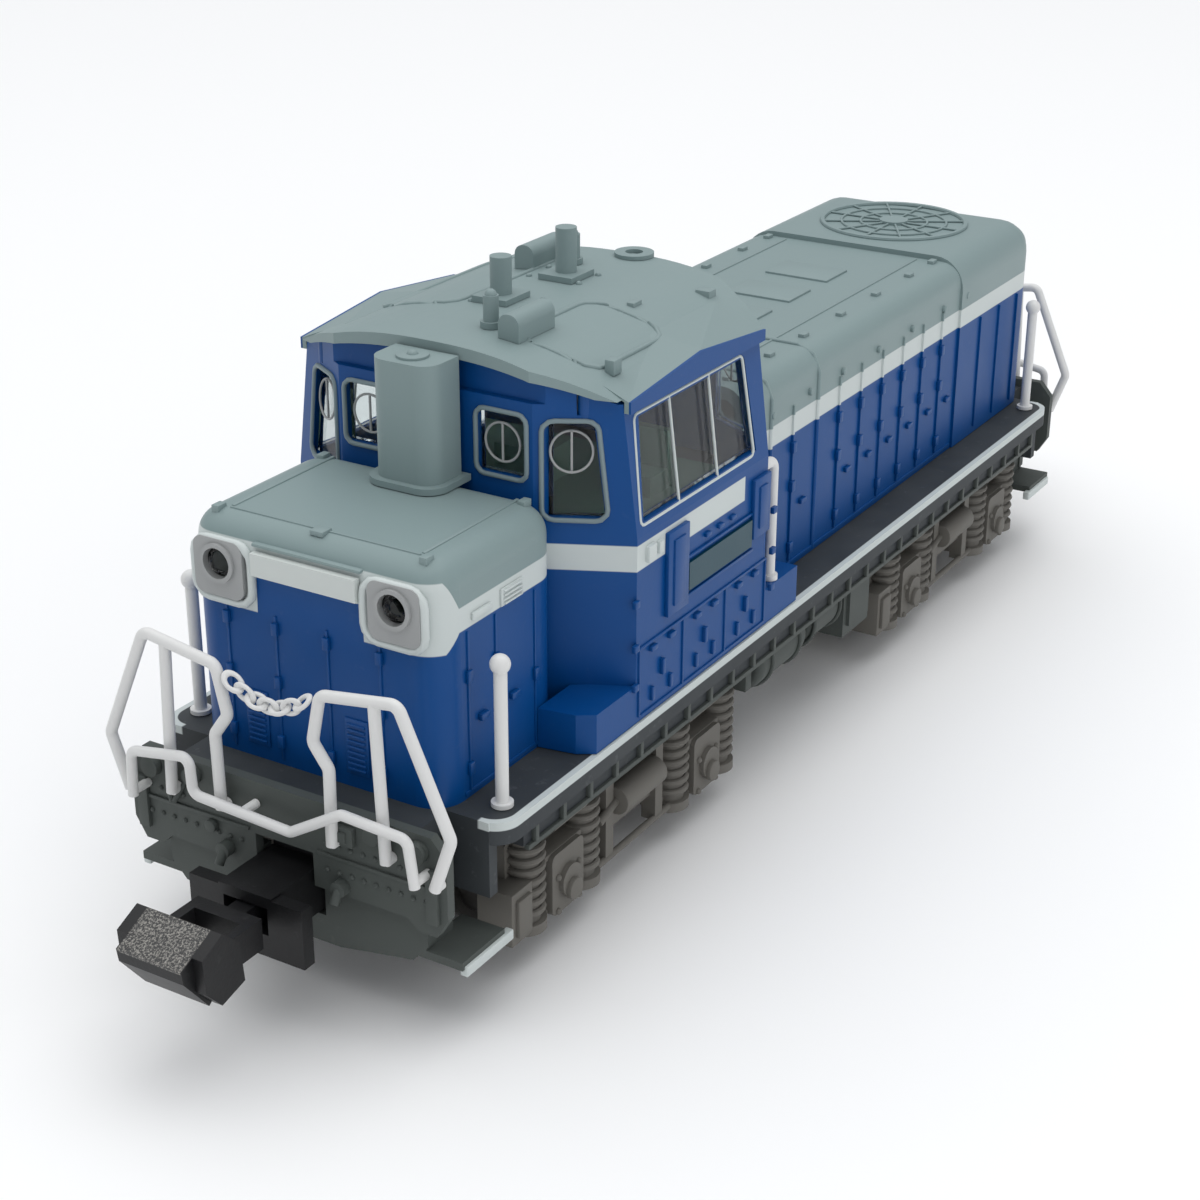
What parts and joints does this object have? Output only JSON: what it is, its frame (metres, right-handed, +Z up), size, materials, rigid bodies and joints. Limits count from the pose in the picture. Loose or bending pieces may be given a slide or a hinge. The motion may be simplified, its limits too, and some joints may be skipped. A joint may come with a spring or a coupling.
{
  "type": "model diesel locomotive",
  "caption": "Small-scale model of a bonnet diesel locomotive: off-centre cab, short and long bonnets, geared bogies, motor with worm drive, end handrails and hook couplers",
  "frame": {"origin": "under the middle of the model, on the plane its wheel flanges stand on", "axes": "+X towards the short bonnet end, +Y to the left of travel, +Z up"},
  "size_m": [0.0882, 0.0194, 0.0297],
  "materials": {
    "blue_body": "satin moulded plastic",
    "grey_roof": "satin",
    "dark_deck": "matt",
    "frame_grey": "matt",
    "bogie_grey": "matt",
    "rail_white": "satin",
    "chain_grey": "metal",
    "black_coupler": "matt, worn",
    "lens": "clear",
    "glazing": "clear, dark behind",
    "light_clear": "clear",
    "board_green": "lacquered board",
    "die_cast": "cast",
    "steel": "bright",
    "wheel_metal": "blackened",
    "brass": "bright",
    "gear_nylon": "natural",
    "interior": "matt",
    "copper": "wound",
    "plate_dark": "satin",
    "white_board": "satin"
  },
  "bodies": {
    "chassis": {"air_reservoirs": "frame_grey", "battery_boxes": "frame_grey", "cab_body": "blue_body", "cab_glazing": "glazing", "cab_handrails": "rail_white", "cab_interior": "interior", "cab_roof": "grey_roof", "chassis_left": "die_cast", "chassis_right": "die_cast", "chassis_screws": "steel", "corner_posts": "rail_white", "coupler_boxes": "black_coupler", "deck": "dark_deck", "end_plates": "frame_grey", "exhaust_stack": "grey_roof", "guard_chains": "chain_grey", "handrails_front": "rail_white", "handrails_rear": "rail_white", "headlight_bezels": "white_board", "headlight_lenses": "lens", "horns": "grey_roof", "lifting_eye": "grey_roof", "light_boards": "board_green", "light_guides": "light_clear", "long_bonnet": "blue_body", "marker_boxes": "grey_roof", "motor_can": "steel", "motor_end_caps": "gear_nylon", "number_boards": "white_board", "number_plates": "plate_dark", "roof_pipes": "grey_roof", "short_bonnet": "blue_body", "skirts": "frame_grey", "uncoupling_levers": "rail_white"},
    "rotor": {"motor_shaft": "steel", "motor_armature": "copper", "flywheels": "brass", "worms": "brass"},
    "bogie_front": {"gearbox_front": "bogie_grey", "gearbox_cover_front": "bogie_grey", "gear_pins_front": "steel", "side_frame_left_front": "bogie_grey", "side_frame_right_front": "bogie_grey"},
    "centre_front": {"centre_gear_front": "gear_nylon"},
    "idler_front_inner": {"idler_gear_front_inner": "gear_nylon"},
    "wheels_front_inner": {"wheelset_front_inner": "wheel_metal"},
    "idler_front_outer": {"idler_gear_front_outer": "gear_nylon"},
    "wheels_front_outer": {"wheelset_front_outer": "wheel_metal"},
    "hook_front": {"coupler_hook_front": "black_coupler"},
    "bogie_rear": {"gearbox_rear": "bogie_grey", "gearbox_cover_rear": "bogie_grey", "gear_pins_rear": "steel", "side_frame_left_rear": "bogie_grey", "side_frame_right_rear": "bogie_grey"},
    "centre_rear": {"centre_gear_rear": "gear_nylon"},
    "idler_rear_inner": {"idler_gear_rear_inner": "gear_nylon"},
    "wheels_rear_inner": {"wheelset_rear_inner": "wheel_metal"},
    "idler_rear_outer": {"idler_gear_rear_outer": "gear_nylon"},
    "wheels_rear_outer": {"wheelset_rear_outer": "wheel_metal"},
    "hook_rear": {"coupler_hook_rear": "black_coupler"}
  },
  "joints": [
    {"name": "motor_spin", "type": "hinge", "parent": "chassis", "child": "rotor", "pos_m": [0, 0, 0.00865], "axis": [1, 0, 0], "continuous": true},
    {"name": "bogie_front_swivel", "type": "hinge", "parent": "chassis", "child": "bogie_front", "pos_m": [0.0186, 0, 0.00735], "axis": [0, 0, 1], "range_deg": [-5, 5]},
    {"name": "bogie_rear_swivel", "type": "hinge", "parent": "chassis", "child": "bogie_rear", "pos_m": [-0.0202, 0, 0.00735], "axis": [0, 0, 1], "range_deg": [-5, 5]},
    {"name": "centre_gear_front_spin", "type": "hinge", "parent": "bogie_front", "child": "centre_front", "pos_m": [0.0186, 0, 0.00525], "axis": [0, 1, 0], "continuous": true},
    {"name": "idler_front_outer_spin", "type": "hinge", "parent": "bogie_front", "child": "idler_front_outer", "pos_m": [0.02183, 0, 0.00317], "axis": [0, 1, 0], "continuous": true},
    {"name": "wheels_front_outer_spin", "type": "hinge", "parent": "bogie_front", "child": "wheels_front_outer", "pos_m": [0.02527, 0, 0.00325], "axis": [0, 1, 0], "continuous": true},
    {"name": "idler_front_inner_spin", "type": "hinge", "parent": "bogie_front", "child": "idler_front_inner", "pos_m": [0.01537, 0, 0.00317], "axis": [0, 1, 0], "continuous": true},
    {"name": "wheels_front_inner_spin", "type": "hinge", "parent": "bogie_front", "child": "wheels_front_inner", "pos_m": [0.01193, 0, 0.00325], "axis": [0, 1, 0], "continuous": true},
    {"name": "centre_gear_rear_spin", "type": "hinge", "parent": "bogie_rear", "child": "centre_rear", "pos_m": [-0.0202, 0, 0.00525], "axis": [0, 1, 0], "continuous": true},
    {"name": "idler_rear_outer_spin", "type": "hinge", "parent": "bogie_rear", "child": "idler_rear_outer", "pos_m": [-0.02343, 0, 0.00317], "axis": [0, 1, 0], "continuous": true},
    {"name": "wheels_rear_outer_spin", "type": "hinge", "parent": "bogie_rear", "child": "wheels_rear_outer", "pos_m": [-0.02687, 0, 0.00325], "axis": [0, 1, 0], "continuous": true},
    {"name": "idler_rear_inner_spin", "type": "hinge", "parent": "bogie_rear", "child": "idler_rear_inner", "pos_m": [-0.01697, 0, 0.00317], "axis": [0, 1, 0], "continuous": true},
    {"name": "wheels_rear_inner_spin", "type": "hinge", "parent": "bogie_rear", "child": "wheels_rear_inner", "pos_m": [-0.01353, 0, 0.00325], "axis": [0, 1, 0], "continuous": true},
    {"name": "hook_front_swing", "type": "hinge", "parent": "chassis", "child": "hook_front", "pos_m": [0.0334, 0, 0.0052], "axis": [0, 0, 1], "range_deg": [-5, 5]},
    {"name": "hook_rear_swing", "type": "hinge", "parent": "chassis", "child": "hook_rear", "pos_m": [-0.0334, 0, 0.0052], "axis": [0, 0, 1], "range_deg": [-5, 5]}
  ],
  "couplings": [
    {"joint": "centre_gear_front_spin", "follows": "motor_spin", "ratio": -0.090909},
    {"joint": "idler_front_outer_spin", "follows": "motor_spin", "ratio": 0.125},
    {"joint": "wheels_front_outer_spin", "follows": "motor_spin", "ratio": -0.11111},
    {"joint": "idler_front_inner_spin", "follows": "motor_spin", "ratio": 0.125},
    {"joint": "wheels_front_inner_spin", "follows": "motor_spin", "ratio": -0.11111},
    {"joint": "centre_gear_rear_spin", "follows": "motor_spin", "ratio": -0.090909},
    {"joint": "idler_rear_outer_spin", "follows": "motor_spin", "ratio": 0.125},
    {"joint": "wheels_rear_outer_spin", "follows": "motor_spin", "ratio": -0.11111},
    {"joint": "idler_rear_inner_spin", "follows": "motor_spin", "ratio": 0.125},
    {"joint": "wheels_rear_inner_spin", "follows": "motor_spin", "ratio": -0.11111}
  ]
}
